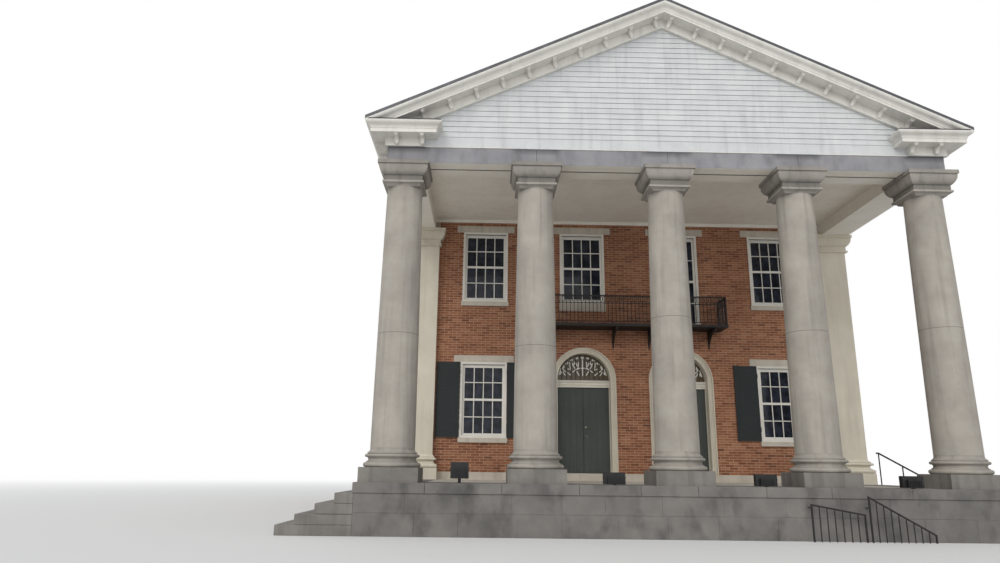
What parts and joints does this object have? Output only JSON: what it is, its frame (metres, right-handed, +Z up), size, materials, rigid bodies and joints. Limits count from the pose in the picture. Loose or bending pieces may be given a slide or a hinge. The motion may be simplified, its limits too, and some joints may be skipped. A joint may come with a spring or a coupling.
{
  "type": "bank building",
  "caption": "Bank in temple form: brick block behind a stone colonnade on a podium, with end steps, gabled roof, iron balcony, hinged doors and shutters.",
  "frame": {"origin": "on the ground, under the middle of the whole building with its steps and eaves", "axes": "+Z up, the street front with its columns faces -Y, +X to the right as one faces the front"},
  "size_m": [16.386, 20.99, 12.1901],
  "materials": {
    "brick": "matt brickwork in running bond with pale joints",
    "column_stone": "weathered sandstone",
    "capital_stone": "weathered sandstone, darker",
    "plinth_stone": "weathered sandstone blocks",
    "podium_stone": "rough coursed stone",
    "paving_stone": "worn flagstones",
    "step_stone": "worn stone",
    "architrave_stone": "weathered stone, bluish grey",
    "lintel_stone": "pale painted stone",
    "cream_timber": "cream paint, satin",
    "white_trim": "white paint, satin",
    "clapboard": "painted clapboards",
    "window_paint": "white paint, satin",
    "window_glass": "clear, dark behind",
    "door_paint": "dark grey-green paint",
    "shutter_paint": "dark green paint",
    "black_iron": "black paint",
    "lamp_metal": "black, satin",
    "roof_metal": "dull grey standing-seam sheet",
    "floor_wood": "worn boards"
  },
  "bodies": {
    "building": {"antae": "cream_timber", "area_railings": "black_iron", "back_wall": "brick", "balcony_brackets": "black_iron", "balcony_end_rails": "black_iron", "balcony_floor": "black_iron", "balcony_front_rail": "black_iron", "base_course": "white_trim", "column_bases": "column_stone", "column_capitals": "capital_stone", "column_plinths": "plinth_stone", "column_shafts": "column_stone", "cornice_returns": "white_trim", "door_sills": "lintel_stone", "door_surrounds": "white_trim", "eave_beams": "cream_timber", "eave_cornices": "white_trim", "fanlights": "window_glass", "floodlights": "lamp_metal", "floors": "floor_wood", "foundation": "podium_stone", "frieze_boards": "cream_timber", "front_architrave": "architrave_stone", "front_wall_piers": "brick", "front_wall_upper": "brick", "lowest_steps": "step_stone", "modillions": "white_trim", "podium_coping": "podium_stone", "podium_walls": "podium_stone", "porch_ceiling": "cream_timber", "porch_floor": "paving_stone", "raking_cornices": "white_trim", "roof_ridge": "roof_metal", "roof_slopes": "roof_metal", "second_steps": "step_stone", "shutter_pintles": "black_iron", "side_walls": "brick", "step_handrail": "black_iron", "third_steps": "step_stone", "timber_beams": "cream_timber", "top_steps": "step_stone", "tympanums": "clapboard", "window_frames": "window_paint", "window_glass": "window_glass", "window_lintels": "lintel_stone", "window_sashes": "window_paint", "window_sills": "lintel_stone"},
    "left_door_left_leaf": {"left_door_left_leaf": "door_paint"},
    "left_door_right_leaf": {"left_door_right_leaf": "door_paint"},
    "right_door_left_leaf": {"right_door_left_leaf": "door_paint"},
    "right_door_right_leaf": {"right_door_right_leaf": "door_paint"},
    "left_window_left_shutter": {"left_window_left_shutter": "shutter_paint"},
    "left_window_right_shutter": {"left_window_right_shutter": "shutter_paint"},
    "right_window_left_shutter": {"right_window_left_shutter": "shutter_paint"},
    "right_window_right_shutter": {"right_window_right_shutter": "shutter_paint"}
  },
  "joints": [
    {"name": "left_door_left_leaf_hinge", "type": "hinge", "parent": "building", "child": "left_door_left_leaf", "pos_m": [-2.089, -4.804, 1.233], "axis": [0, 0, 1], "range_deg": [0, 90]},
    {"name": "left_door_right_leaf_hinge", "type": "hinge", "parent": "building", "child": "left_door_right_leaf", "pos_m": [-0.631, -4.804, 1.233], "axis": [0, 0, -1], "range_deg": [0, 90]},
    {"name": "right_door_left_leaf_hinge", "type": "hinge", "parent": "building", "child": "right_door_left_leaf", "pos_m": [0.631, -4.804, 1.233], "axis": [0, 0, 1], "range_deg": [0, 90]},
    {"name": "right_door_right_leaf_hinge", "type": "hinge", "parent": "building", "child": "right_door_right_leaf", "pos_m": [2.089, -4.804, 1.233], "axis": [0, 0, -1], "range_deg": [0, 90]},
    {"name": "left_window_left_shutter_hinge", "type": "hinge", "parent": "building", "child": "left_window_left_shutter", "pos_m": [-4.815, -5.157, 2.14], "axis": [0, 0, 1], "range_deg": [0, 180]},
    {"name": "left_window_right_shutter_hinge", "type": "hinge", "parent": "building", "child": "left_window_right_shutter", "pos_m": [-3.505, -5.157, 2.14], "axis": [0, 0, -1], "range_deg": [0, 180]},
    {"name": "right_window_left_shutter_hinge", "type": "hinge", "parent": "building", "child": "right_window_left_shutter", "pos_m": [3.505, -5.157, 2.14], "axis": [0, 0, 1], "range_deg": [0, 180]},
    {"name": "right_window_right_shutter_hinge", "type": "hinge", "parent": "building", "child": "right_window_right_shutter", "pos_m": [4.815, -5.157, 2.14], "axis": [0, 0, -1], "range_deg": [0, 180]}
  ]
}
